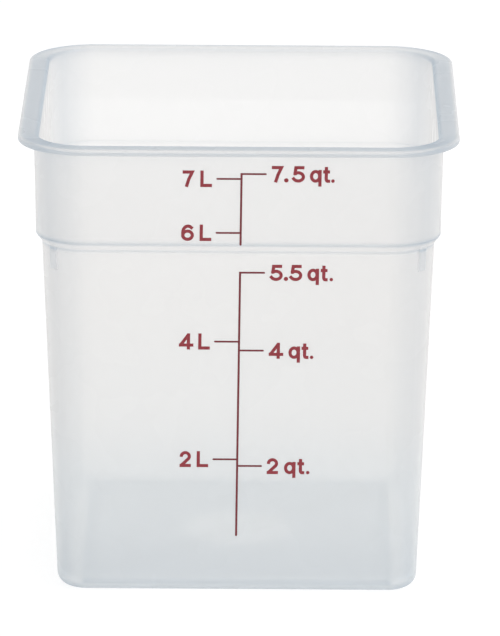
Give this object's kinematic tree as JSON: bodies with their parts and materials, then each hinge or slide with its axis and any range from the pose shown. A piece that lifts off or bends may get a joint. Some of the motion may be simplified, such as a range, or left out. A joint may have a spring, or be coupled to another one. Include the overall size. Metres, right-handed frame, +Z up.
{
  "type": "food storage container",
  "caption": "Open square food storage container in milky plastic, with a flanged rim, a stacking shoulder and a printed measuring scale.",
  "frame": {"origin": "middle of the tub's outline, at the height of the foot it stands on", "axes": "+Z up through the mouth, -Y towards the front wall that carries the printed scale, +X to the right of a person who reads the scale"},
  "size_m": [0.2156, 0.2156, 0.231],
  "materials": {
    "polypropylene": "satin, milky and translucent",
    "line_ink": "matt printed ink",
    "label_ink": "matt printed ink"
  },
  "bodies": {
    "root": {"tub": "polypropylene", "scale_line_upper": "line_ink", "scale_line_lower": "line_ink", "mark_7_litre_1_seven": "label_ink", "mark_7_litre_2_l": "label_ink", "mark_6_litre_1_six": "label_ink", "mark_6_litre_2_l": "label_ink", "mark_4_litre_1_four": "label_ink", "mark_4_litre_2_l": "label_ink", "mark_2_litre_1_two": "label_ink", "mark_2_litre_2_l": "label_ink", "mark_7_5_quart_1_seven": "label_ink", "mark_7_5_quart_2_point": "label_ink", "mark_7_5_quart_3_five": "label_ink", "mark_7_5_quart_4_q": "label_ink", "mark_7_5_quart_5_t": "label_ink", "mark_7_5_quart_6_stop": "label_ink", "mark_5_5_quart_1_five": "label_ink", "mark_5_5_quart_2_point": "label_ink", "mark_5_5_quart_3_five": "label_ink", "mark_5_5_quart_4_q": "label_ink", "mark_5_5_quart_5_t": "label_ink", "mark_5_5_quart_6_stop": "label_ink", "mark_4_quart_1_four": "label_ink", "mark_4_quart_2_q": "label_ink", "mark_4_quart_3_t": "label_ink", "mark_4_quart_4_stop": "label_ink", "mark_2_quart_1_two": "label_ink", "mark_2_quart_2_q": "label_ink", "mark_2_quart_3_t": "label_ink", "mark_2_quart_4_stop": "label_ink"}
  },
  "joints": []
}
